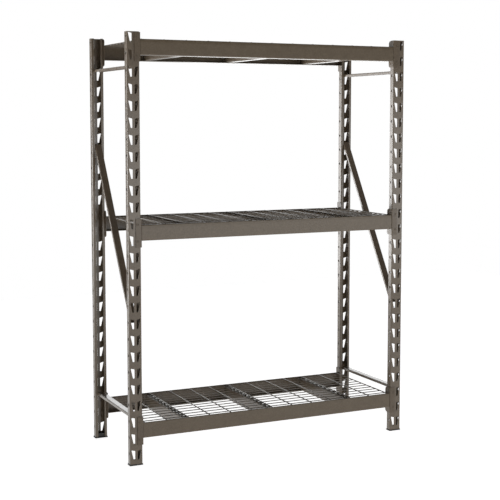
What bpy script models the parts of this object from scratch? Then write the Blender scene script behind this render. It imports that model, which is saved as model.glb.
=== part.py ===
"""Boltless steel shelving: two welded end frames of slotted posts, three pairs of beams that hook into the
slots with riveted end brackets, and three welded wire decks on channel supports.

Metres, +Z up. X runs along the beams and Y from the front to the back. The origin is on the floor, in the
middle of the footprint.
"""

import math

import bmesh
import bpy
from mathutils import Matrix, Vector

# Whole unit
HEIGHT = 1.651
WIDTH = 1.219
DEPTH = 0.457
GAP = 0.0003  # clearance between pieces that touch

# Posts: a channel with return lips, its web facing out to the front or the back
POST_WIDTH = 0.0508
POST_DEPTH = 0.028
POST_LIP = 0.0114
POST_SHEET = 0.002
POST_BEND = 0.0045

# Wedge slots: two mirrored columns in each web
SLOT_COUNT = 26
SLOT_PITCH = 0.0635
SLOT_TOP = 1.6465  # middle of the highest slot's top edge
SLOT_HEIGHT = 0.0365
SLOT_TOP_RISE = 0.002  # the outer top corner is this much above the middle, the inner one below
SLOT_OUTER_TOP = 0.0052  # distances from the post's own edge
SLOT_OUTER_BOTTOM = 0.014
SLOT_INNER = 0.0203
SLOT_CUT_DEPTH = 0.008  # depth of the slots' cutter, through the web and past both its faces

# Round holes through both side walls of the posts, one beside each pair of slots
HOLE_RADIUS = 0.0055
HOLE_DROP = 0.0127  # hole centre below the top edge of the slots
HOLE_BACK = 0.012  # hole centre behind the outer face of the web
HOLE_SIDES = 8
HOLE_CUT_WIDTH = 0.06

# Feet
FOOT_BASE = 0.004
FOOT_OVERHANG = 0.002
FOOT_BEVEL = 0.0012
PLUG_HEIGHT = 0.014
PLUG_CLEARANCE = 0.0006

# Braces of the end frames: channels that pass between the lips of the posts
BRACE_WIDTH = 0.0274
BRACE_HEIGHT = 0.011
BRACE_SHEET = 0.0015
BRACE_BEND = 0.003
BRACE_RISE = 0.001  # brace centre above the top edge of its slot
BRACE_REACH = 0.2155  # end of a level brace from the middle of the frame
DIAGONAL_REACH = 0.206
DIAGONAL_SLOPE = 1.628
TOP_BRACE_SLOT = 2
BOTTOM_BRACE_SLOT = 23
DIAGONAL_SLOTS = (7, 17)

# Beams: a tall face, a ledge along the bottom that carries the deck and a short lip along the top
BEAM_HEIGHT = 0.060
BEAM_LEDGE = 0.038
BEAM_LIP = 0.006
BEAM_SHEET = 0.0018
BEAM_BEND = 0.003

# End brackets: an angle plate with two studs, one pitch apart
BRACKET_SHEET = 0.003
BRACKET_HEIGHT = 0.109
BRACKET_FRONT = 0.021
BRACKET_SIDE = 0.034
BRACKET_BEND = 0.0045
BRACKET_CORNER = 0.012
STUD_DROP = 0.0205  # stud centre below the top edge of its slot
STUD_INSET = 0.014  # stud centre from the post's inner edge
STUD_RADIUS = 0.0033
STUD_HEAD_RADIUS = 0.006
STUD_HEAD = 0.002
RIVET_RADIUS = 0.0045
RIVET_CROWN_RADIUS = 0.0032
RIVET_HEIGHT = 0.0012
SIDE_CUT_WIDTH = 0.1  # the cutter that rounds the corners, wider and longer than the angle plate
SIDE_CUT_FRONT = 0.009

# Wire decks and their supports
CROSS_WIRES = 13
LONG_WIRE_PITCH = 0.0381
LONG_WIRES = 11
WIRE = 0.0044
CROSS_WIRE_DROP = 0.0003  # wire centres below the top of the beams
LONG_WIRE_DROP = CROSS_WIRE_DROP + WIRE  # the long wires touch the cross wires from below
DECK_END_CLEARANCE = 0.0012
DECK_HALF_DEPTH = 0.2215
CHANNEL_WIDTH = 0.026
CHANNEL_SHEET = 0.0015
CHANNEL_BEND = 0.003
CHANNEL_WIRE_STEP = 4  # the outer channels lie under the fourth cross wire from the middle

LEVELS = {"top": 0, "middle": 11, "bottom": 23}  # highest slot that the brackets of each level use
SIDES = {"left": -1, "right": 1}
ROWS = {"front": -1, "rear": 1}
BEAM_TURN = (math.pi / 2, 0.0, math.pi / 2)  # lays a section drawn out along local Z along X
LEVEL_TURN = (math.pi / 2, 0.0, 0.0)  # lays it along Y
ONTO_SIDE = Matrix.Rotation(math.pi / 2, 4, "Z") @ Matrix.Rotation(math.pi / 2, 4, "X")  # XY outline to YZ

BEND_STEPS = 2
CORNER_STEPS = 3
ROUND_STEPS = 8
WELD_DISTANCE = 0.00001
SMOOTH_ANGLE = math.radians(35)

# Material: (base colour, roughness, metallic)
HAMMERED_PAINT = ((0.098, 0.079, 0.064), 0.42, 0.35)
BRACKET_PAINT = ((0.090, 0.072, 0.058), 0.42, 0.35)
WIRE_PAINT = ((0.105, 0.086, 0.071), 0.38, 0.40)
FOOT_PLASTIC = ((0.022, 0.020, 0.019), 0.60, 0.0)


def clear_scene():
    for thing in list(bpy.data.objects):
        bpy.data.objects.remove(thing, do_unlink=True)


def new_collection(name):
    group = bpy.data.collections.new(name)
    bpy.context.scene.collection.children.link(group)
    return group


def make_material(name, finish):
    colour, roughness, metallic = finish
    material = bpy.data.materials.new(name)
    material.use_nodes = True
    shader = material.node_tree.nodes["Principled BSDF"]
    shader.inputs["Base Color"].default_value = (*colour, 1.0)
    shader.inputs["Roughness"].default_value = roughness
    shader.inputs["Metallic"].default_value = metallic
    material.diffuse_color = (*colour, 1.0)
    return material


def place(name, mesh, group, location=(0.0, 0.0, 0.0), rotation=(0.0, 0.0, 0.0), parent=None):
    thing = bpy.data.objects.new(name, mesh)
    group.objects.link(thing)
    thing.location = location
    thing.rotation_euler = rotation
    thing.parent = parent
    return thing


def as_cutter(thing):
    thing.hide_render = True
    thing.display_type = "WIRE"
    return thing


def evaluated_mesh(thing, name):
    """The object's mesh with its modifiers applied, seams welded; the object itself is removed."""
    graph = bpy.context.evaluated_depsgraph_get()
    mesh = bpy.data.meshes.new_from_object(thing.evaluated_get(graph))
    mesh.name = name
    mesh.transform(thing.matrix_world)
    work = bmesh.new()
    work.from_mesh(mesh)
    bmesh.ops.remove_doubles(work, verts=work.verts, dist=WELD_DISTANCE)
    work.to_mesh(mesh)
    work.free()
    bpy.data.objects.remove(thing, do_unlink=True)
    return mesh


def finish_mesh(mesh, material):
    mesh.materials.clear()
    mesh.materials.append(material)
    mesh.shade_smooth()
    mesh.set_sharp_from_angle(angle=SMOOTH_ANGLE)
    return mesh


def bend_path(corners, radius):
    """Open path through the corners, with each inner corner turned into an arc."""
    points = [Vector(corner) for corner in corners]
    path = [points[0]]
    for before, corner, after in zip(points, points[1:], points[2:]):
        towards = (before - corner).normalized()
        away = (after - corner).normalized()
        half = towards.angle(away) / 2
        start = corner + towards * (radius / math.tan(half))
        centre = corner + (towards + away).normalized() * (radius / math.sin(half))
        turn = (-towards).angle_signed(away)
        for step in range(BEND_STEPS + 1):
            arm = start - centre
            arm.rotate(Matrix.Rotation(-turn * step / BEND_STEPS, 2))
            path.append(centre + arm)
    path.append(points[-1])
    return path


def strip_mesh(name, path, length):
    """Open sheet: the path in the local XY plane, drawn out along local Z about its middle."""
    work = bmesh.new()
    low = [work.verts.new((point.x, point.y, -length / 2)) for point in path]
    edges = [work.edges.new(pair) for pair in zip(low, low[1:])]
    swept = bmesh.ops.extrude_edge_only(work, edges=edges)
    high = [part for part in swept["geom"] if isinstance(part, bmesh.types.BMVert)]
    bmesh.ops.translate(work, verts=high, vec=(0.0, 0.0, length))
    mesh = bpy.data.meshes.new(name)
    work.to_mesh(mesh)
    work.free()
    return mesh


def sheet_mesh(name, path, length, thickness, group):
    """Rolled section: the path is its outer face, and the sheet lies on the path's right."""
    thing = place(name, strip_mesh(name, path, length), group)
    wall = thing.modifiers.new("wall", "SOLIDIFY")
    wall.thickness = thickness
    wall.offset = -1.0
    wall.use_even_offset = True
    return evaluated_mesh(thing, name)


def plate_mesh(name, outlines, thickness, group):
    """Flat outlines in the local XY plane, filled and drawn out along local Z about their middle."""
    curve = bpy.data.curves.new(name, "CURVE")
    curve.dimensions = "2D"
    curve.fill_mode = "BOTH"
    curve.extrude = thickness / 2
    for outline in outlines:
        spline = curve.splines.new("POLY")
        spline.points.add(len(outline) - 1)
        for point, (across, along) in zip(spline.points, outline):
            point.co = (across, along, 0.0, 1.0)
        spline.use_cyclic_u = True
    return evaluated_mesh(place(name, curve, group), name)


def box_mesh(name, boxes):
    """One mesh holding a cube for each pair of low and high corners."""
    work = bmesh.new()
    for low, high in boxes:
        low = Vector(low)
        high = Vector(high)
        size = Matrix.Diagonal((*(high - low), 1.0))
        bmesh.ops.create_cube(work, size=1.0, matrix=Matrix.Translation((low + high) / 2) @ size)
    mesh = bpy.data.meshes.new(name)
    work.to_mesh(mesh)
    work.free()
    return mesh


def turned_mesh(name, profile, group):
    """Solid of revolution about local Z, from a profile of (radius, height) points, top to bottom."""
    work = bmesh.new()
    ring = [work.verts.new((radius, 0.0, height)) for radius, height in profile]
    for pair in zip(ring, ring[1:]):
        work.edges.new(pair)
    mesh = bpy.data.meshes.new(name)
    work.to_mesh(mesh)
    work.free()
    thing = place(name, mesh, group)
    screw = thing.modifiers.new("turn", "SCREW")
    screw.steps = ROUND_STEPS
    screw.render_steps = ROUND_STEPS
    screw.use_merge_vertices = True
    screw.merge_threshold = WELD_DISTANCE
    return evaluated_mesh(thing, name)


def combine(body, tool, operation, group):
    """The body's mesh after an exact Boolean with the tool's mesh."""
    target = place(body.name, body, group)
    cutter = as_cutter(place(tool.name, tool, group))
    cut = target.modifiers.new("combine", "BOOLEAN")
    cut.operation = operation
    cut.solver = "EXACT"
    cut.object = cutter
    mesh = evaluated_mesh(target, body.name)
    bpy.data.objects.remove(cutter, do_unlink=True)
    return mesh


def slot_top(index):
    return SLOT_TOP - SLOT_PITCH * index


def beam_centre(level):
    """Height of a level's beams: half-way between its two studs."""
    return slot_top(LEVELS[level]) - STUD_DROP - SLOT_PITCH / 2


def slot_outlines():
    """Wedge slots of one post in the XZ plane, X measured from the middle of the web."""
    outlines = []
    for index in range(SLOT_COUNT):
        top = slot_top(index)
        bottom = top - SLOT_HEIGHT
        for side in SIDES.values():
            inner = side * (POST_WIDTH / 2 - SLOT_INNER)
            outlines.append([
                (side * (POST_WIDTH / 2 - SLOT_OUTER_TOP), top + SLOT_TOP_RISE),
                (inner, top - SLOT_TOP_RISE),
                (inner, bottom),
                (side * (POST_WIDTH / 2 - SLOT_OUTER_BOTTOM), bottom),
            ])
    return outlines


def hole_outlines():
    """Round holes of one post in the YZ plane."""
    outlines = []
    for index in range(SLOT_COUNT):
        height = slot_top(index) - HOLE_DROP
        turns = [2 * math.pi * (step + 0.5) / HOLE_SIDES for step in range(HOLE_SIDES)]
        outlines.append([(HOLE_BACK + HOLE_RADIUS * math.cos(turn), height + HOLE_RADIUS * math.sin(turn))
                         for turn in turns])
    return outlines


def make_post_mesh(group):
    """Front post, its web towards -Y: local origin at the foot, in the middle of the web's outer face."""
    half = POST_WIDTH / 2
    section = [
        (half - POST_LIP, POST_DEPTH),
        (half, POST_DEPTH),
        (half, 0.0),
        (-half, 0.0),
        (-half, POST_DEPTH),
        (POST_LIP - half, POST_DEPTH),
    ]
    foot_top = FOOT_BASE + GAP
    length = HEIGHT - foot_top
    sheet = sheet_mesh("post", bend_path(section, POST_BEND), length, POST_SHEET, group)
    sheet.transform(Matrix.Translation((0.0, 0.0, foot_top + length / 2)))
    slots = plate_mesh("slots", slot_outlines(), SLOT_CUT_DEPTH, group)
    slots.transform(Matrix.Rotation(math.pi / 2, 4, "X"))
    holes = plate_mesh("holes", hole_outlines(), HOLE_CUT_WIDTH, group)
    holes.transform(ONTO_SIDE)
    slotted = combine(sheet, slots, "DIFFERENCE", group)
    return combine(slotted, holes, "DIFFERENCE", group)


def make_foot_mesh(group):
    """Foot under a front post: a base a little wider than the post, and a plug inside the channel."""
    reach = POST_WIDTH / 2 + FOOT_OVERHANG
    back = POST_DEPTH + FOOT_OVERHANG
    slab = box_mesh("base", [((-reach, -FOOT_OVERHANG, 0.0), (reach, back, FOOT_BASE))])
    base = place("base", slab, group)
    rounding = base.modifiers.new("rounding", "BEVEL")
    rounding.width = FOOT_BEVEL
    rounding.segments = 1
    inset = POST_SHEET + PLUG_CLEARANCE
    half = POST_WIDTH / 2 - POST_BEND
    plug_back = POST_DEPTH - inset
    plug = box_mesh("plug", [((-half, inset, FOOT_BASE / 2), (half, plug_back, FOOT_BASE + PLUG_HEIGHT))])
    return combine(evaluated_mesh(base, "foot"), plug, "UNION", group)


def make_brace_mesh(length, group):
    """Channel drawn out along local Z, its web towards +Y, centred on its axis."""
    half = BRACE_WIDTH / 2
    rise = BRACE_HEIGHT / 2
    section = [(-half, -rise), (-half, rise), (half, rise), (half, -rise)]
    return sheet_mesh("brace", bend_path(section, BRACE_BEND), length, BRACE_SHEET, group)


def make_beam_mesh(length, group):
    """Front beam drawn out along local Z: local X points to the back and local Y up, from its face."""
    rise = BEAM_HEIGHT / 2
    section = [(BEAM_LEDGE, -rise), (0.0, -rise), (0.0, rise), (BEAM_LIP, rise)]
    return sheet_mesh("beam", bend_path(section, BEAM_BEND), length, BEAM_SHEET, group)


def rounded_side():
    """Side of a bracket in the (Y, Z) plane: square at the front, rounded at the two back corners."""
    front = -SIDE_CUT_FRONT
    back = BRACKET_SIDE
    rise = BRACKET_HEIGHT / 2
    outline = [(front, -rise)]
    for centre_z, start in ((BRACKET_CORNER - rise, -math.pi / 2), (rise - BRACKET_CORNER, 0.0)):
        for step in range(CORNER_STEPS + 1):
            angle = start + math.pi / 2 * step / CORNER_STEPS
            outline.append((back - BRACKET_CORNER * (1 - math.cos(angle)),
                            centre_z + BRACKET_CORNER * math.sin(angle)))
    outline.append((front, rise))
    return outline


def stud_profile():
    """A stud along local Z, from the head behind the web down to the rivet at the front."""
    front = -GAP - BRACKET_SHEET
    head = POST_SHEET + GAP
    return [
        (0.0, head + STUD_HEAD),
        (STUD_HEAD_RADIUS, head + STUD_HEAD),
        (STUD_HEAD_RADIUS, head),
        (STUD_RADIUS, head),
        (STUD_RADIUS, front + BRACKET_SHEET / 2),
        (RIVET_RADIUS, front + BRACKET_SHEET / 2),
        (RIVET_RADIUS, front - RIVET_HEIGHT / 2),
        (RIVET_CROWN_RADIUS, front - RIVET_HEIGHT),
        (0.0, front - RIVET_HEIGHT),
    ]


def make_bracket_mesh(bay, group):
    """End bracket of a front beam. The origin is where the post's inner edge meets its web, and bay is
    the sign of the direction to the beam."""
    front = -GAP - BRACKET_SHEET
    plate = GAP + BRACKET_SHEET
    section = [(plate, BRACKET_SIDE), (plate, front), (-BRACKET_FRONT, front)]
    if bay < 0:
        section = [(-across, back) for across, back in reversed(section)]
    path = bend_path(section, BRACKET_BEND)
    angle = sheet_mesh("bracket", path, BRACKET_HEIGHT, BRACKET_SHEET, group)
    side = plate_mesh("side", [rounded_side()], SIDE_CUT_WIDTH, group)
    side.transform(ONTO_SIDE)
    trimmed = combine(angle, side, "INTERSECT", group)
    stud = turned_mesh("stud", stud_profile(), group)
    stud.transform(Matrix.Rotation(-math.pi / 2, 4, "X"))
    for offset in (-SLOT_PITCH / 2, SLOT_PITCH / 2):
        placed = stud.copy()
        placed.transform(Matrix.Translation((-bay * STUD_INSET, 0.0, offset)))
        trimmed = combine(trimmed, placed, "UNION", group)
    return trimmed


def deck_half_length():
    return WIDTH / 2 - POST_WIDTH - GAP - BRACKET_SHEET - DECK_END_CLEARANCE


def cross_wire_positions():
    outer = deck_half_length() - WIRE / 2
    return [outer * (2 * index / (CROSS_WIRES - 1) - 1) for index in range(CROSS_WIRES)]


def long_wire_positions():
    inner = [LONG_WIRE_PITCH * (index - (LONG_WIRES - 1) / 2) for index in range(LONG_WIRES)]
    edge = DECK_HALF_DEPTH - WIRE / 2
    return [-edge, *inner, edge]


def make_deck_mesh(group):
    """Wire grid: long wires along X, cross wires welded on top. The origin is at the beams' top edge."""
    half = WIRE / 2
    length = deck_half_length()
    depth = DECK_HALF_DEPTH
    low = -LONG_WIRE_DROP - half
    long_wires = [((-length, y - half, low), (length, y + half, low + WIRE)) for y in long_wire_positions()]
    low = -CROSS_WIRE_DROP - half
    cross_wires = [((x - half, -depth, low), (x + half, depth, low + WIRE)) for x in cross_wire_positions()]
    return combine(box_mesh("wires", long_wires), box_mesh("cross_wires", cross_wires), "UNION", group)


def make_channel_mesh(group):
    """Deck support drawn out along local Z, open towards +X; the origin is at the beams' top edge."""
    half = CHANNEL_WIDTH / 2
    top = -LONG_WIRE_DROP - WIRE / 2 - GAP
    bottom = BEAM_SHEET + GAP - BEAM_HEIGHT
    section = [(half, bottom), (-half, bottom), (-half, top), (half, top)]
    path = bend_path(section, CHANNEL_BEND)
    return sheet_mesh("channel", path, DECK_HALF_DEPTH * 2, CHANNEL_SHEET, group)


def build_frames(parts, cutters, paint, plastic):
    """The two end frames: four posts with their feet, and three braces on each side."""
    post = finish_mesh(make_post_mesh(cutters), paint)
    foot = finish_mesh(make_foot_mesh(cutters), plastic)
    level_brace = finish_mesh(make_brace_mesh(BRACE_REACH * 2, cutters), paint)
    angle = math.atan(DIAGONAL_SLOPE)
    diagonal = finish_mesh(make_brace_mesh(DIAGONAL_REACH * 2 / math.cos(angle), cutters), paint)
    middle = sum(slot_top(index) for index in DIAGONAL_SLOTS) / len(DIAGONAL_SLOTS)
    for side, across in SIDES.items():
        x = across * (WIDTH - POST_WIDTH) / 2
        frame = place(f"frame_{side}", None, parts, (x, 0.0, 0.0))
        for row, back in ROWS.items():
            where = (0.0, back * DEPTH / 2, 0.0)
            turn = (0.0, 0.0, 0.0 if back < 0 else math.pi)
            place(f"post_{row}_{side}", post, parts, where, turn, frame)
            place(f"foot_{row}_{side}", foot, parts, where, turn, frame)
        for name, index in (("top", TOP_BRACE_SLOT), ("bottom", BOTTOM_BRACE_SLOT)):
            where = (0.0, 0.0, slot_top(index) + BRACE_RISE)
            place(f"brace_{name}_{side}", level_brace, parts, where, LEVEL_TURN, frame)
        lean = (math.pi / 2 + angle, 0.0, 0.0)
        place(f"brace_diagonal_{side}", diagonal, parts, (0.0, 0.0, middle), lean, frame)


def build_beams(parts, cutters, paint, bracket_paint):
    """Three pairs of beams. Each beam and its two brackets hang from an empty at the beam's middle."""
    bay_edge = WIDTH / 2 - POST_WIDTH
    length = 2 * (bay_edge - GAP - BRACKET_SHEET - GAP)
    beam = finish_mesh(make_beam_mesh(length, cutters), paint)
    brackets = {
        1: finish_mesh(make_bracket_mesh(1, cutters), bracket_paint),
        -1: finish_mesh(make_bracket_mesh(-1, cutters), bracket_paint),
    }
    for level in LEVELS:
        for row, back in ROWS.items():
            middle = (0.0, back * DEPTH / 2, beam_centre(level))
            turn = (0.0, 0.0, 0.0 if back < 0 else math.pi)
            carrier = place(f"{row}_beam_{level}", None, parts, middle, turn)
            place(f"beam_{row}_{level}", beam, parts, rotation=BEAM_TURN, parent=carrier)
            for side, across in SIDES.items():
                local = -across * back  # a rear carrier is turned round, so its left is the unit's right
                where = (local * bay_edge, 0.0, 0.0)
                place(f"bracket_{row}_{side}_{level}", brackets[-local], parts, where, parent=carrier)


def build_decks(parts, cutters, wire_paint, paint):
    """Three decks. Each grid and its three channels hang from an empty at the beams' top edge."""
    deck = finish_mesh(make_deck_mesh(cutters), wire_paint)
    channel = finish_mesh(make_channel_mesh(cutters), paint)
    wires = cross_wire_positions()
    centre = CROSS_WIRES // 2
    steps = {"left": -CHANNEL_WIRE_STEP, "centre": 0, "right": CHANNEL_WIRE_STEP}
    for level in LEVELS:
        top = (0.0, 0.0, beam_centre(level) + BEAM_HEIGHT / 2)
        carrier = place(f"deck_carrier_{level}", None, parts, top)
        place(f"deck_{level}", deck, parts, parent=carrier)
        for name, step in steps.items():
            where = (wires[centre + step], 0.0, 0.0)
            place(f"channel_{name}_{level}", channel, parts, where, LEVEL_TURN, carrier)


def main():
    clear_scene()
    parts = new_collection("boltless_steel_shelving")
    cutters = new_collection("cutters")
    paint = make_material("hammered_paint", HAMMERED_PAINT)
    bracket_paint = make_material("bracket_paint", BRACKET_PAINT)
    wire_paint = make_material("wire_paint", WIRE_PAINT)
    plastic = make_material("foot_plastic", FOOT_PLASTIC)
    build_frames(parts, cutters, paint, plastic)
    build_beams(parts, cutters, paint, bracket_paint)
    build_decks(parts, cutters, wire_paint, paint)


main()
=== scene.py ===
"""Boltless steel shelving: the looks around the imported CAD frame.

Metres, +Z up, the frame's own axes: X runs along the beams and Y from the front to the back.
"""

import math

import bmesh
import bpy
from mathutils import Matrix, Vector


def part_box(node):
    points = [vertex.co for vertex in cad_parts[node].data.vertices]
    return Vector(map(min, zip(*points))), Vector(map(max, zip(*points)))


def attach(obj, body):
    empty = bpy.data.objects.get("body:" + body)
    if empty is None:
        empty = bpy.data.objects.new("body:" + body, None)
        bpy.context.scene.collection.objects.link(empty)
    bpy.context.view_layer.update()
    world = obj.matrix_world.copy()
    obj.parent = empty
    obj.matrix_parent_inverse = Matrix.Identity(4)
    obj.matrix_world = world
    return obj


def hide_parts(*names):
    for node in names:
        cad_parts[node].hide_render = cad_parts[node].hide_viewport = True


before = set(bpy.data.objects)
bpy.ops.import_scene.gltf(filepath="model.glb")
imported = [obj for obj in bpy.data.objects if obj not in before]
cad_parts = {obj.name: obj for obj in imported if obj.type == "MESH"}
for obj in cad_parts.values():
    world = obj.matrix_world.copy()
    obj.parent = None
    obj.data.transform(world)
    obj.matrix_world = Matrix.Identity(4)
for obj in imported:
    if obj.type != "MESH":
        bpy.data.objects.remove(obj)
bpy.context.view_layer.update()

LEVELS = ("top", "middle", "bottom")
SIDES = {"left": -1, "right": 1}
ROWS = {"front": -1, "rear": 1}
CHANNELS = ("left", "centre", "right")

# Sheet thicknesses and bend radii
POST_SHEET = 0.002
POST_BEND = 0.0045
POST_LIP = 0.0114
BRACE_SHEET = 0.0015
BRACE_BEND = 0.003
BEAM_SHEET = 0.0018
BEAM_BEND = 0.003
BEAM_LIP = 0.006
BEAM_CROWN = 0.012  # height of the strip that leans back a little along the top of the face
BEAM_CROWN_BACK = 0.0008
BRACKET_SHEET = 0.003
BRACKET_BEND = 0.0045
BRACKET_FRONT = 0.021
BRACKET_SIDE = 0.034
BRACKET_CORNER = 0.012
BRACKET_SIDE_FRONT = 0.009  # how far the side's outline starts in front of the web, beyond the plate
BRACKET_CUT_WIDTH = 0.1
BRACKET_ROUNDING = 0.0005
CHANNEL_SHEET = 0.0015
CHANNEL_BEND = 0.003
CHANNEL_WELD = 0.0007  # how far the channel's top reaches up to the long wires
CHANNEL_ROUNDING = 0.0003

# Wedge slots and round holes of the posts
SLOT_COUNT = 26
SLOT_PITCH = 0.0635
SLOT_TOP = 1.6465
SLOT_HEIGHT = 0.0365
SLOT_TOP_RISE = 0.002
SLOT_OUTER_TOP = 0.0052
SLOT_OUTER_BOTTOM = 0.014
SLOT_INNER = 0.0203
SLOT_CORNER = 0.0012
SLOT_CUT_DEPTH = 0.008
HOLE_RADIUS = 0.0055
HOLE_DROP = 0.0127
HOLE_BACK = 0.012
HOLE_SIDES = 24
HOLE_CUT_WIDTH = 0.06

# Studs and rivets of the brackets
STUD_INSET = 0.014
STUD_RADIUS = 0.0033
STUD_HEAD_RADIUS = 0.006
STUD_HEAD = 0.002
STUD_GAP = 0.0003
RIVET_RADIUS = 0.0045
RIVET_DIMPLE = 0.0021
RIVET_HEIGHT = 0.0012
RIVET_PIT = 1.5  # depth of the middle of the dimple, as a share of the dome's height
RIVET_STEPS = 8
STUD_RIM = 0.0005
ROUND_STEPS = 28

# Wires of the decks
CROSS_WIRES = 13
CROSS_WIRE_INSET = 0.006
LONG_WIRE_PITCH = 0.0381
LONG_WIRES = 11
WIRE_RADIUS = 0.0022
LONG_WIRE_RADIUS = 0.0018
DECK_DROP = 0.0006  # top of the cross wires below the top of the deck's box
WIRE_SINK = 0.0004  # how far the wires are pressed into each other at their welds
WIRE_SIDES = 14
WIRE_NIB = 0.3  # rounding of a wire's end, as a share of its radius
WIRE_NIB_MIDDLE = 0.3  # how far the middle of that rounding lies inside its corner, as a share of it
NUGGET_RADIUS = 0.0036
NUGGET_HEIGHT = 0.0022
NUGGET_SPREAD = 1.15  # width of a nugget's foot, as a share of its radius
NUGGET_DROP = 0.0006  # top of a nugget below the top of the cross wires
NUGGET_STEPS = 5
NUGGET_SIDES = 12

# Feet
FOOT_CORNER = 0.004
FOOT_CORNER_STEPS = 6
FOOT_GAP = 0.0006  # between the plug and the inside of the post
FOOT_ROUNDING = 0.0008
PLUG_CORNER = 0.0015
PLUG_CORNER_STEPS = 4
POCKET_WALL = 0.003
POCKET_CORNER = 0.001
POCKET_CORNER_STEPS = 3
POCKET_CUT_HEIGHT = 0.012
RIB_HALF = 0.0008
RIB_END = 0.001
RIB_HEIGHT = 0.009
RIB_DROP = 0.005

# Weld beads of the beams
BEAD_RADIUS = 0.0017
BEAD_INSET = 0.0006
BEAD_BACK = 0.0008
BEAD_END = 0.006
BEAD_LEDGE_START = 0.007
BEAD_LEDGE_END = 0.004
BEAD_RIPPLE = 0.0016
BEAD_RIPPLE_STEPS = 4
BEAD_LEAST_STEPS = 8
BEAD_SWELL = 0.16
BEAD_TIP = 0.18  # how full the bead is at its very ends
BEAD_FADE = 6  # the bead is full from one sixth of its length on
BEAD_CAP = 0.5  # how far its ends bulge out, as a share of its radius
BEAD_SIDES = 10

DIAGONAL_SLOPE = 1.628

BEND_STEPS = 7
CORNER_STEPS = 8
SLOT_CORNER_STEPS = 3
EDGE_ROUNDING = 0.00035
SHARP_ANGLE = math.radians(35)
ROUND_SHARP_ANGLE = math.radians(40)
WELD_DISTANCE = 0.000005
FLAT_WEIGHT = 100

# Powder coat: a scale is a number of features per metre, and a range is where a texture starts and ends
WOBBLE_SCALE = 160.0
WOBBLE_SIZE = 0.004
HAMMER_BLEND = 0.7
HAMMER_RANGE = (0.05, 0.75)
PEEL_SCALE = 1400.0
CLOUD_SCALE = 26.0
FLECK_SCALE = 2600.0
FLECK_RANGE = (0.18, 0.02)
HAMMER_TONE = 0.45
CLOUD_TONE = 0.9
TONE_RANGE = (0.3, 1.05)
FLECK_SHARE = 0.22
FLECK_COLOUR = (0.30, 0.27, 0.24, 1.0)
NOISE_RANGE = (0.3, 0.7)
SMOOTHER = 0.05  # how far the roughness drops below its mean where the clouds are dark
ROUGHER = 0.07  # how far it rises above it where they are light
COAT_ROUGHNESS = 0.18
COAT_SPECULAR = 0.15
PAINTS = {
    "frame_paint": {"dark": (0.082, 0.059, 0.037), "light": (0.132, 0.099, 0.065), "hammer_size": 0.0042,
                    "hammer_depth": 0.00008, "peel_depth": 0.00003, "roughness": 0.42, "coat": 0.95},
    "brace_paint": {"dark": (0.084, 0.060, 0.040), "light": (0.132, 0.100, 0.067), "hammer_size": 0.0042,
                    "hammer_depth": 0.00007, "peel_depth": 0.00003, "roughness": 0.42, "coat": 0.95},
    "beam_paint": {"dark": (0.090, 0.066, 0.041), "light": (0.130, 0.099, 0.065), "hammer_size": 0.0060,
                   "hammer_depth": 0.00009, "peel_depth": 0.00004, "roughness": 0.45, "coat": 0.6},
    "bracket_paint": {"dark": (0.078, 0.057, 0.036), "light": (0.122, 0.091, 0.060), "hammer_size": 0.0042,
                      "hammer_depth": 0.00009, "peel_depth": 0.00004, "roughness": 0.45, "coat": 0.6},
    "wire_paint": {"dark": (0.080, 0.060, 0.040), "light": (0.122, 0.094, 0.064), "hammer_size": 0.0030,
                   "hammer_depth": 0.00006, "peel_depth": 0.00003, "roughness": 0.40, "coat": 0.9},
    "channel_paint": {"dark": (0.088, 0.066, 0.044), "light": (0.130, 0.101, 0.070), "hammer_size": 0.0050,
                      "hammer_depth": 0.00008, "peel_depth": 0.00003, "roughness": 0.42, "coat": 0.8},
}

# Moulded plastic of the feet
GRAIN_SCALE = 1800.0
SCUFF_SCALE = 90.0
GRAIN_DEPTH = 0.00006
PLASTIC_DARK = (0.016, 0.015, 0.014)
PLASTIC_LIGHT = (0.030, 0.028, 0.026)
PLASTIC_ROUGHNESS = (0.5, 0.68)

# Studio: brightness of the surround, and softboxes as the limits of their azimuth (from +Y towards +X) and
# elevation, the softness of their edges (all in degrees) and their strength
FRONT_LIGHT = 0.9
BACK_LIGHT = 0.3
BACK_RANGE = (-0.6, 0.4)  # Y of the directions between which the light falls off from front to back
CEILING_SHARE = 0.16
CEILING_RANGE = (-0.06, 0.14)  # Z of the directions between which it falls off upwards
SOFTBOXES = [((-95.0, -28.5), (-40.0, 2.0), 3.0, 7.5), ((10.0, 52.0), (10.0, 23.0), 1.5, 2.4),
             ((22.0, 62.0), (-9.0, -0.5), 1.0, 2.5), ((-30.0, 6.0), (15.0, 36.0), 2.0, 1.6),
             ((10.0, 50.0), (1.0, 9.0), 1.0, 0.8)]
FLOOR_GLOW = 0.9
FLOOR_HALF = 4.0
FLOOR_GRID = 8
FLOOR_COLOUR = (0.9, 0.9, 0.9, 1.0)
FLOOR_ROUGHNESS = 0.9
FLOOR_SPECULAR = 0.1
WHITE = (1.0, 1.0, 1.0, 1.0)
FRONT_BOX_PLACE = (1.2, -3.0, 0.9)
FRONT_BOX_SIZE = (3.2, 1.0)
FRONT_BOX_POWER = 17.0
FRONT_BOX_AIM = (0.2, 0.0, 0.9)

# Camera
CAMERA_PLACE = (-2.0404, -4.3024, 1.3201)
CAMERA_DOWN = 0.0866
CAMERA_TURN = -0.4441
CAMERA_LENS = 82.52
CAMERA_SENSOR = 36.0
CAMERA_NEAR = 0.1
CAMERA_FAR = 200.0
CAMERA_SHIFT = -0.06

ALONG_X = Matrix.Rotation(math.pi / 2, 4, "Z") @ Matrix.Rotation(math.pi / 2, 4, "X")
ALONG_Y = Matrix.Rotation(math.pi / 2, 4, "X")
HALF_TURN = Matrix.Rotation(math.pi, 4, "Z")


# ---------------------------------------------------------------- mesh tools


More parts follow.
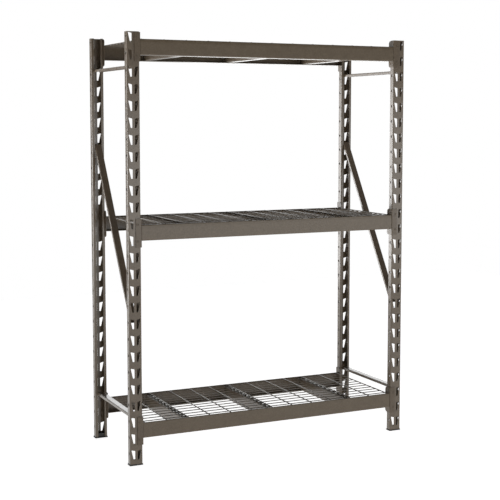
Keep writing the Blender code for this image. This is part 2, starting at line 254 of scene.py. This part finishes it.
def add_object(name, mesh):
    """A new object in the scene for the mesh."""
    thing = bpy.data.objects.new(name, mesh)
    bpy.context.scene.collection.objects.link(thing)
    return thing


def applied(thing):
    """The object's mesh with its modifiers applied; the object and its old mesh are removed."""
    graph = bpy.context.evaluated_depsgraph_get()
    mesh = bpy.data.meshes.new_from_object(thing.evaluated_get(graph))
    old = thing.data
    bpy.data.objects.remove(thing, do_unlink=True)
    if old.users == 0 and isinstance(old, bpy.types.Mesh):
        bpy.data.meshes.remove(old)
    return mesh


def combined(body, tool, operation):
    """The body's mesh after an exact boolean with the tool's mesh, with stray slivers merged."""
    target = add_object("target", body)
    cutter = add_object("cutter", tool)
    cut = target.modifiers.new("cut", "BOOLEAN")
    cut.operation = operation
    cut.solver = "EXACT"
    cut.object = cutter
    mesh = applied(target)
    bpy.data.objects.remove(cutter, do_unlink=True)
    work = bmesh.new()
    work.from_mesh(mesh)
    bmesh.ops.remove_doubles(work, verts=work.verts, dist=WELD_DISTANCE)
    bmesh.ops.dissolve_degenerate(work, edges=work.edges, dist=WELD_DISTANCE)
    work.to_mesh(mesh)
    work.free()
    return mesh


def softened(mesh, width=EDGE_ROUNDING, segments=2):
    """Rounds the sharp edges a little, so that they catch the light, and keeps the flat faces flat."""
    thing = add_object("soften", mesh)
    bevel = thing.modifiers.new("edges", "BEVEL")
    bevel.width = width
    bevel.segments = segments
    bevel.limit_method = "ANGLE"
    bevel.angle_limit = SHARP_ANGLE
    bevel.use_clamp_overlap = True
    bevel.miter_outer = "MITER_ARC"
    result = applied(thing)
    result.shade_smooth()
    result.set_sharp_from_angle(angle=SHARP_ANGLE)
    thing = add_object("weigh", result)
    flat = thing.modifiers.new("flat_faces", "WEIGHTED_NORMAL")
    flat.keep_sharp = True
    flat.weight = FLAT_WEIGHT
    return applied(thing)


def bend_path(corners, radius, steps=BEND_STEPS):
    """Open path through the corners, with each inner corner turned into an arc."""
    points = [Vector(corner) for corner in corners]
    path = [points[0]]
    for before, corner, after in zip(points, points[1:], points[2:]):
        towards = (before - corner).normalized()
        away = (after - corner).normalized()
        half = towards.angle(away) / 2
        start = corner + towards * (radius / math.tan(half))
        centre = corner + (towards + away).normalized() * (radius / math.sin(half))
        turn = (-towards).angle_signed(away)
        for step in range(steps + 1):
            arm = start - centre
            arm.rotate(Matrix.Rotation(-turn * step / steps, 2))
            path.append(centre + arm)
    path.append(points[-1])
    return path


def offset_path(path, distance):
    """The path moved to its right by the distance, with mitred corners."""
    shifted = []
    last = len(path) - 1
    for index, point in enumerate(path):
        normals = []
        for start, end in ((index - 1, index), (index, index + 1)):
            if 0 <= start and end <= last:
                run = (path[end] - path[start]).normalized()
                normals.append(Vector((run.y, -run.x)))
        mean = sum(normals, Vector((0.0, 0.0))).normalized()
        shifted.append(point + mean * (distance / mean.dot(normals[0])))
    return shifted


def extruded(outline, length):
    """Closed solid: an outline in the local XY plane, drawn out along local Z about its middle."""
    work = bmesh.new()
    ring = [work.verts.new((point[0], point[1], -length / 2)) for point in outline]
    face = work.faces.new(ring)
    swept = bmesh.ops.extrude_face_region(work, geom=[face])
    top = [part for part in swept["geom"] if isinstance(part, bmesh.types.BMVert)]
    bmesh.ops.translate(work, verts=top, vec=(0.0, 0.0, length))
    bmesh.ops.recalc_face_normals(work, faces=work.faces)
    mesh = bpy.data.meshes.new("extruded")
    work.to_mesh(mesh)
    work.free()
    return mesh


def rolled(corners, radius, thickness, length):
    """Rolled sheet section: the path is its outer face, and the sheet lies on the path's right."""
    outer = bend_path(corners, radius)
    return extruded(outer + offset_path(outer, thickness)[::-1], length)


def joined(meshes):
    """One mesh holding all the given ones."""
    work = bmesh.new()
    for mesh in meshes:
        work.from_mesh(mesh)
    result = bpy.data.meshes.new("joined")
    work.to_mesh(result)
    work.free()
    return result


def moved(mesh, matrix):
    """A copy of the mesh, placed by the matrix."""
    copy = mesh.copy()
    copy.transform(matrix)
    return copy


def rounded_outline(points, radius, steps):
    """Closed outline with every corner turned into an arc."""
    corners = [Vector(point) for point in points]
    outline = []
    for index, corner in enumerate(corners):
        before = corners[index - 1]
        after = corners[(index + 1) % len(corners)]
        outline += bend_path([before, corner, after], radius, steps)[1:-1]
    return outline


def rectangle(left, right, front, back, radius, steps):
    """Closed outline of a rectangle with rounded corners."""
    return rounded_outline([(left, front), (right, front), (right, back), (left, back)], radius, steps)


def circle(centre, radius, sides):
    """Closed outline of a round hole."""
    turns = [2 * math.pi * (step + 0.5) / sides for step in range(sides)]
    return [(centre[0] + radius * math.cos(turn), centre[1] + radius * math.sin(turn)) for turn in turns]


def turned(profile, steps=ROUND_STEPS):
    """Solid of revolution about local Z, from (radius, height) points that start and end on the axis."""
    work = bmesh.new()
    rings = []
    for radius, height in profile:
        if radius == 0.0:
            rings.append([work.verts.new((0.0, 0.0, height))])
            continue
        turns = [2 * math.pi * step / steps for step in range(steps)]
        rings.append([work.verts.new((radius * math.cos(t), radius * math.sin(t), height)) for t in turns])
    for low, high in zip(rings, rings[1:]):
        for step in range(steps):
            after = (step + 1) % steps
            corners = [low[step % len(low)], low[after % len(low)],
                       high[after % len(high)], high[step % len(high)]]
            work.faces.new(list(dict.fromkeys(corners)))
    bmesh.ops.recalc_face_normals(work, faces=work.faces)
    mesh = bpy.data.meshes.new("turned")
    work.to_mesh(mesh)
    work.free()
    return mesh


def wire(length, radius, sides=WIRE_SIDES):
    """Straight round wire along local Z about its middle, with cropped and slightly rounded ends."""
    end = length / 2
    nib = radius * WIRE_NIB
    middle = nib * WIRE_NIB_MIDDLE
    profile = [(0.0, end), (radius - nib, end), (radius - middle, end - middle), (radius, end - nib)]
    profile += [(r, -h) for r, h in reversed(profile)]
    return turned(profile, sides)


def bead(start, end, radius):
    """Weld bead: a thick line of overlapping ripples from start to end, thinner at its ends."""
    start = Vector(start)
    run = Vector(end) - start
    rings = max(BEAD_LEAST_STEPS, round(run.length / BEAD_RIPPLE) * BEAD_RIPPLE_STEPS)
    profile = [(0.0, -radius * BEAD_CAP)]
    for step in range(rings + 1):
        share = step / rings
        swell = 1.0 + BEAD_SWELL * math.cos(2 * math.pi * step / BEAD_RIPPLE_STEPS)
        fullness = min(1.0, BEAD_TIP + (1.0 - BEAD_TIP) * min(share, 1 - share) * BEAD_FADE)
        taper = math.sin(math.pi * fullness / 2)
        profile.append((radius * swell * taper, run.length * share))
    profile.append((0.0, run.length + radius * BEAD_CAP))
    mesh = turned(profile, BEAD_SIDES)
    mesh.transform(Matrix.Translation(start) @ run.to_track_quat("Z", "Y").to_matrix().to_4x4())
    mesh.shade_smooth()
    return mesh


# ---------------------------------------------------------------- materials


def node(tree, kind, inputs=None, **settings):
    """A new shader node: an input is either a value or the socket that feeds it."""
    made = tree.nodes.new(kind)
    for name, value in settings.items():
        setattr(made, name, value)
    for key, value in (inputs or {}).items():
        socket = made.inputs[key]
        if isinstance(value, bpy.types.NodeSocket):
            tree.links.new(value, socket)
        else:
            socket.default_value = value
    return made


def maths(tree, operation, *values):
    """Result of an operation on numbers, which are values or sockets."""
    return node(tree, "ShaderNodeMath", dict(enumerate(values)), operation=operation).outputs["Value"]


def ramp(tree, value, source, target=(0.0, 1.0), **settings):
    """The value carried over from its source range to the target range, and kept inside it."""
    made = node(tree, "ShaderNodeMapRange", {"Value": value, "From Min": source[0], "From Max": source[1],
                                             "To Min": target[0], "To Max": target[1]}, **settings)
    return made.outputs["Result"]


def blend(tree, share, first, second):
    """Colour between the first and the second one."""
    made = node(tree, "ShaderNodeMix", {"Factor": share, "A": first, "B": second}, data_type="RGBA")
    return made.outputs[2]


def powder_coat(name, dark, light, hammer_size, hammer_depth, peel_depth, roughness, coat):
    """Textured powder coat: a hammered or orange-peel relief, clouded colour and fine metallic flecks."""
    material = bpy.data.materials.new(name)
    material.use_nodes = True
    tree = material.node_tree
    shader = tree.nodes["Principled BSDF"]
    place = node(tree, "ShaderNodeTexCoord").outputs["Object"]
    wobble = node(tree, "ShaderNodeTexNoise", {"Vector": place, "Scale": WOBBLE_SCALE, "Detail": 2.0})
    bent = node(tree, "ShaderNodeVectorMath", {0: wobble.outputs["Color"], 1: (WOBBLE_SIZE,) * 3},
                operation="MULTIPLY")
    bent = node(tree, "ShaderNodeVectorMath", {0: place, 1: bent.outputs["Vector"]}, operation="ADD")
    cells = node(tree, "ShaderNodeTexVoronoi", {"Vector": bent.outputs["Vector"], "Scale": 1.0 / hammer_size,
                                               "Smoothness": HAMMER_BLEND}, feature="SMOOTH_F1")
    peel = node(tree, "ShaderNodeTexNoise", {"Vector": place, "Scale": PEEL_SCALE, "Detail": 3.0,
                                            "Roughness": 0.55})
    clouds = node(tree, "ShaderNodeTexNoise", {"Vector": place, "Scale": CLOUD_SCALE, "Detail": 5.0,
                                              "Roughness": 0.6})
    flecks = node(tree, "ShaderNodeTexVoronoi", {"Vector": place, "Scale": FLECK_SCALE})
    hollow = ramp(tree, cells.outputs["Distance"], HAMMER_RANGE)
    tone = maths(tree, "MULTIPLY", hollow, HAMMER_TONE)
    tone = maths(tree, "MULTIPLY_ADD", clouds.outputs["Fac"], CLOUD_TONE, tone)
    colour = blend(tree, ramp(tree, tone, TONE_RANGE), (*dark, 1.0), (*light, 1.0))
    fleck = ramp(tree, flecks.outputs["Distance"], FLECK_RANGE, (0.0, FLECK_SHARE))
    tree.links.new(blend(tree, fleck, colour, FLECK_COLOUR), shader.inputs["Base Color"])
    rough = ramp(tree, clouds.outputs["Fac"], NOISE_RANGE, (roughness - SMOOTHER, roughness + ROUGHER))
    tree.links.new(rough, shader.inputs["Roughness"])
    shader.inputs["Metallic"].default_value = 0.0
    shader.inputs["Specular IOR Level"].default_value = COAT_SPECULAR
    shader.inputs["Coat Weight"].default_value = coat
    shader.inputs["Coat Roughness"].default_value = COAT_ROUGHNESS
    relief = node(tree, "ShaderNodeBump", {"Height": hollow, "Strength": 1.0, "Distance": hammer_depth})
    grain = node(tree, "ShaderNodeBump", {"Height": peel.outputs["Fac"], "Strength": 1.0,
                                          "Distance": peel_depth, "Normal": relief.outputs["Normal"]})
    tree.links.new(grain.outputs["Normal"], shader.inputs["Normal"])
    return material


def moulded_plastic(name, dark, light):
    """Matt moulded plastic: a fine grain and slight scuffs."""
    material = bpy.data.materials.new(name)
    material.use_nodes = True
    tree = material.node_tree
    shader = tree.nodes["Principled BSDF"]
    place = node(tree, "ShaderNodeTexCoord").outputs["Object"]
    grain = node(tree, "ShaderNodeTexNoise", {"Vector": place, "Scale": GRAIN_SCALE, "Detail": 3.0})
    scuffs = node(tree, "ShaderNodeTexNoise", {"Vector": place, "Scale": SCUFF_SCALE, "Detail": 6.0,
                                              "Distortion": 1.2})
    colour = blend(tree, scuffs.outputs["Fac"], (*dark, 1.0), (*light, 1.0))
    tree.links.new(colour, shader.inputs["Base Color"])
    rough = ramp(tree, scuffs.outputs["Fac"], NOISE_RANGE, PLASTIC_ROUGHNESS)
    tree.links.new(rough, shader.inputs["Roughness"])
    bump = node(tree, "ShaderNodeBump", {"Height": grain.outputs["Fac"], "Strength": 1.0,
                                         "Distance": GRAIN_DEPTH})
    tree.links.new(bump.outputs["Normal"], shader.inputs["Normal"])
    return material


# ---------------------------------------------------------------- pieces


def cad_size(name):
    """Size of a CAD node's box."""
    low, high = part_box(name)
    return high - low


def centre_of(name):
    """Middle of a CAD node's box."""
    low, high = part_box(name)
    return (low + high) / 2


def post_mesh():
    """Front post. The local origin is at floor level, in the middle of the web's outer face."""
    low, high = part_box("post_front_left")
    width = high.x - low.x
    depth = high.y - low.y
    half = width / 2
    section = [(half - POST_LIP, depth), (half, depth), (half, 0.0), (-half, 0.0), (-half, depth),
               (POST_LIP - half, depth)]
    sheet = rolled(section, POST_BEND, POST_SHEET, high.z - low.z)
    sheet.transform(Matrix.Translation((0.0, 0.0, (low.z + high.z) / 2)))
    slots = []
    holes = []
    for index in range(SLOT_COUNT):
        top = SLOT_TOP - SLOT_PITCH * index
        bottom = top - SLOT_HEIGHT
        for side in SIDES.values():
            inner = side * (half - SLOT_INNER)
            corners = [(side * (half - SLOT_OUTER_TOP), top + SLOT_TOP_RISE), (inner, top - SLOT_TOP_RISE),
                       (inner, bottom), (side * (half - SLOT_OUTER_BOTTOM), bottom)]
            slots.append(extruded(rounded_outline(corners, SLOT_CORNER, SLOT_CORNER_STEPS), SLOT_CUT_DEPTH))
        holes.append(extruded(circle((HOLE_BACK, top - HOLE_DROP), HOLE_RADIUS, HOLE_SIDES), HOLE_CUT_WIDTH))
    cutter = joined([moved(mesh, ALONG_Y) for mesh in slots] + [moved(mesh, ALONG_X) for mesh in holes])
    return softened(combined(sheet, cutter, "DIFFERENCE"))


def foot_mesh():
    """Foot under a front post, in the same local frame as the post."""
    low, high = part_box("foot_front_left")
    post_low, post_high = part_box("post_front_left")
    centre = (post_low.x + post_high.x) / 2
    base_top = post_low.z - STUD_GAP
    base = extruded(rectangle(low.x - centre, high.x - centre, low.y - post_low.y, high.y - post_low.y,
                              FOOT_CORNER, FOOT_CORNER_STEPS), base_top)
    base.transform(Matrix.Translation((0.0, 0.0, base_top / 2)))
    half = (post_high.x - post_low.x) / 2 - POST_BEND
    front = POST_SHEET + FOOT_GAP
    back = post_high.y - post_low.y - front
    plug = extruded(rectangle(-half, half, front, back, PLUG_CORNER, PLUG_CORNER_STEPS),
                    high.z - base_top / 2)
    plug.transform(Matrix.Translation((0.0, 0.0, (high.z + base_top / 2) / 2)))
    pocket = extruded(rectangle(POCKET_WALL - half, half - POCKET_WALL, front + POCKET_WALL,
                                back - POCKET_WALL, POCKET_CORNER, POCKET_CORNER_STEPS), POCKET_CUT_HEIGHT)
    pocket.transform(Matrix.Translation((0.0, 0.0, high.z)))
    rib = extruded([(-RIB_HALF, front + RIB_END), (RIB_HALF, front + RIB_END), (RIB_HALF, back - RIB_END),
                    (-RIB_HALF, back - RIB_END)], RIB_HEIGHT)
    rib.transform(Matrix.Translation((0.0, 0.0, high.z - RIB_DROP)))
    solid = combined(base, plug, "UNION")
    solid = combined(solid, pocket, "DIFFERENCE")
    return softened(combined(solid, rib, "UNION"), FOOT_ROUNDING, 3)


def brace_mesh(length, width, height):
    """Brace along local Z about its own middle: a channel open towards local -Y."""
    section = [(-width / 2, -height / 2), (-width / 2, height / 2), (width / 2, height / 2),
               (width / 2, -height / 2)]
    return softened(rolled(section, BRACE_BEND, BRACE_SHEET, length))


def beam_mesh():
    """Front beam about its own middle: local X along the beam, Y to the back from its face."""
    size = cad_size("beam_front_top")
    rise = size.z / 2
    section = [(size.y, -rise), (0.0, -rise), (0.0, rise - BEAM_CROWN), (BEAM_CROWN_BACK, rise),
               (BEAM_LIP, rise)]
    body = softened(rolled(section, BEAM_BEND, BEAM_SHEET, size.x))
    body.transform(ALONG_X)
    pieces = [body]
    for side in SIDES.values():
        x = side * (size.x / 2 - BEAD_INSET)
        back = BEAM_SHEET + BEAD_BACK
        pieces.append(bead((x, back, BEAD_END - rise), (x, back, rise - BEAD_END), BEAD_RADIUS))
        pieces.append(bead((x, BEAD_LEDGE_START, back - rise), (x, size.y - BEAD_LEDGE_END, back - rise),
                           BEAD_RADIUS))
    return joined(pieces)


def bracket_side(height):
    """Side of a bracket in the (Y, Z) plane: square at the front, rounded at the two back corners."""
    rise = height / 2
    outline = [(-BRACKET_SIDE_FRONT, -rise)]
    for centre_z, start in ((BRACKET_CORNER - rise, -math.pi / 2), (rise - BRACKET_CORNER, 0.0)):
        for step in range(CORNER_STEPS + 1):
            angle = start + math.pi / 2 * step / CORNER_STEPS
            outline.append((BRACKET_SIDE - BRACKET_CORNER * (1 - math.cos(angle)),
                            centre_z + BRACKET_CORNER * math.sin(angle)))
    outline.append((-BRACKET_SIDE_FRONT, rise))
    return outline


def stud_profile():
    """A stud along local Z, from the head behind the web down to the rivet at the front."""
    front = -STUD_GAP - BRACKET_SHEET
    head = POST_SHEET + STUD_GAP
    points = [(0.0, head + STUD_HEAD), (STUD_HEAD_RADIUS - STUD_RIM, head + STUD_HEAD),
              (STUD_HEAD_RADIUS, head + STUD_HEAD - STUD_RIM), (STUD_HEAD_RADIUS, head + STUD_RIM / 2),
              (STUD_HEAD_RADIUS - STUD_RIM / 2, head), (STUD_RADIUS, head),
              (STUD_RADIUS, front + BRACKET_SHEET / 2), (RIVET_RADIUS, front + BRACKET_SHEET / 2),
              (RIVET_RADIUS, front)]
    ring = (RIVET_RADIUS - RIVET_DIMPLE) / 2
    for step in range(1, RIVET_STEPS):
        angle = math.pi * step / RIVET_STEPS
        points.append((RIVET_DIMPLE + ring + ring * math.cos(angle), front - RIVET_HEIGHT * math.sin(angle)))
    points += [(RIVET_DIMPLE, front + RIVET_HEIGHT), (0.0, front + RIVET_HEIGHT * RIVET_PIT)]
    return points


def bracket_mesh(bay):
    """End bracket of a front beam, with its two studs.

    The origin is where the post's inner edge meets its web, and bay is the sign of the way to the beam.
    """
    height = cad_size("bracket_front_left_top").z
    front = -STUD_GAP - BRACKET_SHEET
    plate = STUD_GAP + BRACKET_SHEET
    section = [(plate, BRACKET_SIDE), (plate, front), (-BRACKET_FRONT, front)]
    if bay < 0:
        section = [(-across, back) for across, back in reversed(section)]
    angle = rolled(section, BRACKET_BEND, BRACKET_SHEET, height)
    side = moved(extruded(bracket_side(height), BRACKET_CUT_WIDTH), ALONG_X)
    solid = softened(combined(angle, side, "INTERSECT"), BRACKET_ROUNDING)
    stud = turned(stud_profile())
    stud.shade_smooth()
    stud.set_sharp_from_angle(angle=ROUND_SHARP_ANGLE)
    stud.transform(Matrix.Rotation(-math.pi / 2, 4, "X"))
    studs = [moved(stud, Matrix.Translation((-bay * STUD_INSET, 0.0, offset)))
             for offset in (-SLOT_PITCH / 2, SLOT_PITCH / 2)]
    return joined([solid, *studs])


def deck_mesh():
    """Wire grid about its own middle, with local zero at the height of the beams' top edge."""
    low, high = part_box("deck_top")
    size = high - low
    top = high.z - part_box("beam_front_top")[1].z
    across_z = top - WIRE_RADIUS - DECK_DROP
    along_z = across_z - WIRE_RADIUS - LONG_WIRE_RADIUS + WIRE_SINK
    along = wire(size.x, LONG_WIRE_RADIUS)
    along.transform(Matrix.Rotation(math.pi / 2, 4, "Y"))
    across = wire(size.y, WIRE_RADIUS)
    across.transform(ALONG_Y)
    edge = size.y / 2 - LONG_WIRE_RADIUS
    rows = [LONG_WIRE_PITCH * (index - (LONG_WIRES - 1) / 2) for index in range(LONG_WIRES)]
    alongs = [moved(along, Matrix.Translation((0.0, y, along_z))) for y in (-edge, *rows, edge)]
    acrosses = [moved(across, Matrix.Translation((x, 0.0, across_z))) for x in cross_wire_positions()]
    grid = combined(joined(alongs), joined(acrosses), "UNION")
    grid.shade_smooth()
    grid.set_sharp_from_angle(angle=ROUND_SHARP_ANGLE)
    return joined([grid, *deck_welds(rows, across_z)])


def deck_welds(rows, height):
    """Weld nuggets on the long wires where they meet the channels, beside the cross wire."""
    profile = [(0.0, 0.0)]
    for step in range(1, NUGGET_STEPS + 1):
        angle = math.pi / 2 * step / NUGGET_STEPS
        profile.append((NUGGET_RADIUS * math.sin(angle), NUGGET_HEIGHT * (math.cos(angle) - 1)))
    foot = -NUGGET_HEIGHT - WIRE_RADIUS
    profile += [(NUGGET_RADIUS * NUGGET_SPREAD, foot), (0.0, foot)]
    nugget = turned(profile, NUGGET_SIDES)
    nugget.shade_smooth()
    top = height + WIRE_RADIUS - NUGGET_DROP
    welds = []
    for name in CHANNELS:
        x = centre_of(f"channel_{name}_top").x + WIRE_RADIUS + NUGGET_RADIUS / 2
        welds += [moved(nugget, Matrix.Translation((x, y, top))) for y in rows]
    return welds


def cross_wire_positions():
    """Local X of every cross wire of a deck."""
    outer = cad_size("deck_top").x / 2 - CROSS_WIRE_INSET
    return [outer * (2 * index / (CROSS_WIRES - 1) - 1) for index in range(CROSS_WIRES)]


def channel_mesh():
    """Deck support about its own middle, open towards +X; the long wires are welded to its top."""
    size = cad_size("channel_centre_top")
    top = size.z / 2 + CHANNEL_WELD
    half = size.x / 2
    section = [(half, -size.z / 2), (-half, -size.z / 2), (-half, top), (half, top)]
    mesh = softened(rolled(section, CHANNEL_BEND, CHANNEL_SHEET, size.y), CHANNEL_ROUNDING)
    mesh.transform(ALONG_Y)
    return mesh


def piece(name, mesh, matrix, material, body, cad_node):
    """A finished piece in the row frame: it stands for its CAD node and rides on that node's body."""
    placed = moved(mesh, matrix)
    placed.materials.clear()
    placed.materials.append(material)
    thing = add_object(name, placed)
    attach(thing, body)
    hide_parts(cad_node)
    return thing


def build_frames(paint, brace_paint, plastic):
    """Posts, feet and braces of both end frames."""
    post = post_mesh()
    foot = foot_mesh()
    size = cad_size("brace_top_left")
    level = brace_mesh(size.y, size.x, size.z)
    for side in SIDES:
        for row, back in ROWS.items():
            low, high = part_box(f"post_{row}_{side}")
            web = low.y if back < 0 else high.y
            matrix = Matrix.Translation(((low.x + high.x) / 2, web, 0.0))
            if back > 0:
                matrix = matrix @ HALF_TURN
            piece(f"slotted_post_{row}_{side}", post, matrix, paint, "end_frames", f"post_{row}_{side}")
            piece(f"plastic_foot_{row}_{side}", foot, matrix, plastic, "end_frames", f"foot_{row}_{side}")
        for name in ("top", "bottom"):
            cad = f"brace_{name}_{side}"
            matrix = Matrix.Translation(centre_of(cad)) @ ALONG_Y
            piece(f"level_{cad}", level, matrix, brace_paint, "end_frames", cad)
        build_diagonal(side, brace_paint)


def build_diagonal(side, brace_paint):
    """Brace that rises from the front post to the rear one."""
    cad = f"brace_diagonal_{side}"
    low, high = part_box(cad)
    width = high.x - low.x
    height = cad_size("brace_top_left").z
    run = high.y - low.y
    angle = math.atan(DIAGONAL_SLOPE)
    length = (run - height * math.sin(angle)) / math.cos(angle)
    mesh = brace_mesh(length, width, height)
    matrix = Matrix.Translation((low + high) / 2) @ Matrix.Rotation(math.pi / 2 + angle, 4, "X")
    piece(f"diagonal_{cad}", mesh, matrix, brace_paint, "end_frames", cad)


def build_beams(paint, bracket_paint):
    """Beams of all levels, with their end brackets."""
    beam = beam_mesh()
    brackets = {1: bracket_mesh(1), -1: bracket_mesh(-1)}
    for level in LEVELS:
        for row, back in ROWS.items():
            body = f"{row}_beam_{level}"
            low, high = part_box(f"beam_{row}_{level}")
            face = low.y if back < 0 else high.y
            middle = Matrix.Translation(((low.x + high.x) / 2, face, (low.z + high.z) / 2))
            if back > 0:
                middle = middle @ HALF_TURN
            piece(f"deck_beam_{row}_{level}", beam, middle, paint, body, f"beam_{row}_{level}")
            for side, across in SIDES.items():
                post_low, post_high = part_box(f"post_{row}_{side}")
                inner = post_high.x if across < 0 else post_low.x
                matrix = Matrix.Translation((inner, face, (low.z + high.z) / 2))
                bay = -across
                if back > 0:
                    matrix = matrix @ HALF_TURN
                    bay = across
                piece(f"end_bracket_{row}_{side}_{level}", brackets[bay], matrix, bracket_paint, body,
                      f"bracket_{row}_{side}_{level}")


def build_decks(wire_paint, channel_paint):
    """Wire decks of all levels, with their channels."""
    deck = deck_mesh()
    channel = channel_mesh()
    for level in LEVELS:
        body = f"deck_{level}"
        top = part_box(f"beam_front_{level}")[1].z
        piece(f"wire_deck_{level}", deck, Matrix.Translation((0.0, 0.0, top)), wire_paint, body,
              f"deck_{level}")
        for name in CHANNELS:
            cad = f"channel_{name}_{level}"
            piece(f"deck_{cad}", channel, Matrix.Translation(centre_of(cad)), channel_paint, body, cad)


# ---------------------------------------------------------------- stage


def build_camera():
    """Camera at the left of the front, at about shoulder height."""
    data = bpy.data.cameras.new("camera")
    data.sensor_width = CAMERA_SENSOR
    data.lens = CAMERA_LENS
    data.shift_y = CAMERA_SHIFT
    data.clip_start = CAMERA_NEAR
    data.clip_end = CAMERA_FAR
    camera = bpy.data.objects.new("camera", data)
    bpy.context.scene.collection.objects.link(camera)
    camera.location = CAMERA_PLACE
    camera.rotation_euler = (math.pi / 2 - CAMERA_DOWN, 0.0, CAMERA_TURN)
    bpy.context.scene.camera = camera


def build_floor():
    """Plain pale floor with a little glow of its own, so that it stays as white as the surround."""
    work = bmesh.new()
    bmesh.ops.create_grid(work, x_segments=FLOOR_GRID, y_segments=FLOOR_GRID, size=FLOOR_HALF)
    mesh = bpy.data.meshes.new("floor")
    work.to_mesh(mesh)
    work.free()
    floor = add_object("floor", mesh)
    material = bpy.data.materials.new("pale_floor")
    material.use_nodes = True
    shader = material.node_tree.nodes["Principled BSDF"]
    shader.inputs["Base Color"].default_value = FLOOR_COLOUR
    shader.inputs["Roughness"].default_value = FLOOR_ROUGHNESS
    shader.inputs["Specular IOR Level"].default_value = FLOOR_SPECULAR
    shader.inputs["Emission Color"].default_value = WHITE
    shader.inputs["Emission Strength"].default_value = FLOOR_GLOW
    mesh.materials.append(material)


def mask(tree, angle, limits, soft):
    """1 between the two limits of an angle, 0 outside them, with soft edges; the limits are in degrees."""
    low, high = (math.radians(limit) for limit in limits)
    edge = math.radians(soft)
    rise = ramp(tree, angle, (low - edge, low + edge), interpolation_type="SMOOTHSTEP")
    fall = ramp(tree, angle, (high + edge, high - edge), interpolation_type="SMOOTHSTEP")
    return maths(tree, "MULTIPLY", rise, fall)


def build_world():
    """Soft studio light: a surround that is dim above and behind, with softboxes behind the unit.

    The camera itself sees a plain white surround.
    """
    scene = bpy.context.scene
    world = bpy.data.worlds.new("studio")
    scene.world = world
    world.use_nodes = True
    tree = world.node_tree
    tree.nodes.clear()
    output = node(tree, "ShaderNodeOutputWorld")
    way = node(tree, "ShaderNodeTexCoord").outputs["Generated"]
    split = node(tree, "ShaderNodeSeparateXYZ", {"Vector": way})
    front = ramp(tree, split.outputs["Y"], BACK_RANGE, (FRONT_LIGHT, BACK_LIGHT),
                 interpolation_type="SMOOTHSTEP")
    ceiling = ramp(tree, split.outputs["Z"], CEILING_RANGE, (1.0, CEILING_SHARE),
                   interpolation_type="SMOOTHSTEP")
    total = maths(tree, "MULTIPLY", front, ceiling)
    azimuth = maths(tree, "ARCTAN2", split.outputs["X"], split.outputs["Y"])
    elevation = maths(tree, "ARCSINE", split.outputs["Z"])
    for across, up, soft, strength in SOFTBOXES:
        patch = maths(tree, "MULTIPLY", mask(tree, azimuth, across, soft), mask(tree, elevation, up, soft))
        total = maths(tree, "MULTIPLY_ADD", patch, strength, total)
    lit = node(tree, "ShaderNodeBackground", {"Color": WHITE, "Strength": total})
    seen = node(tree, "ShaderNodeBackground", {"Color": WHITE, "Strength": 1.0})
    path = node(tree, "ShaderNodeLightPath")
    mix = node(tree, "ShaderNodeMixShader", {0: path.outputs["Is Camera Ray"], 1: lit.outputs[0],
                                             2: seen.outputs[0]})
    tree.links.new(mix.outputs[0], output.inputs["Surface"])
    scene.view_settings.view_transform = "Standard"


def build_front_box():
    """Softbox in front and to the right, level with the middle of the unit."""
    data = bpy.data.lights.new("front_box", "AREA")
    data.shape = "RECTANGLE"
    data.size, data.size_y = FRONT_BOX_SIZE
    data.energy = FRONT_BOX_POWER
    box = bpy.data.objects.new("front_box", data)
    bpy.context.scene.collection.objects.link(box)
    box.location = FRONT_BOX_PLACE
    aim = Vector(FRONT_BOX_AIM) - Vector(FRONT_BOX_PLACE)
    box.rotation_euler = aim.to_track_quat("-Z", "Y").to_euler()
    box.visible_camera = False


def main():
    """Builds the stage and the pieces."""
    build_camera()
    build_floor()
    build_world()
    build_front_box()
    paints = {name: powder_coat(name, **look) for name, look in PAINTS.items()}
    plastic = moulded_plastic("foot_plastic", PLASTIC_DARK, PLASTIC_LIGHT)
    build_frames(paints["frame_paint"], paints["brace_paint"], plastic)
    build_beams(paints["beam_paint"], paints["bracket_paint"])
    build_decks(paints["wire_paint"], paints["channel_paint"])


main()
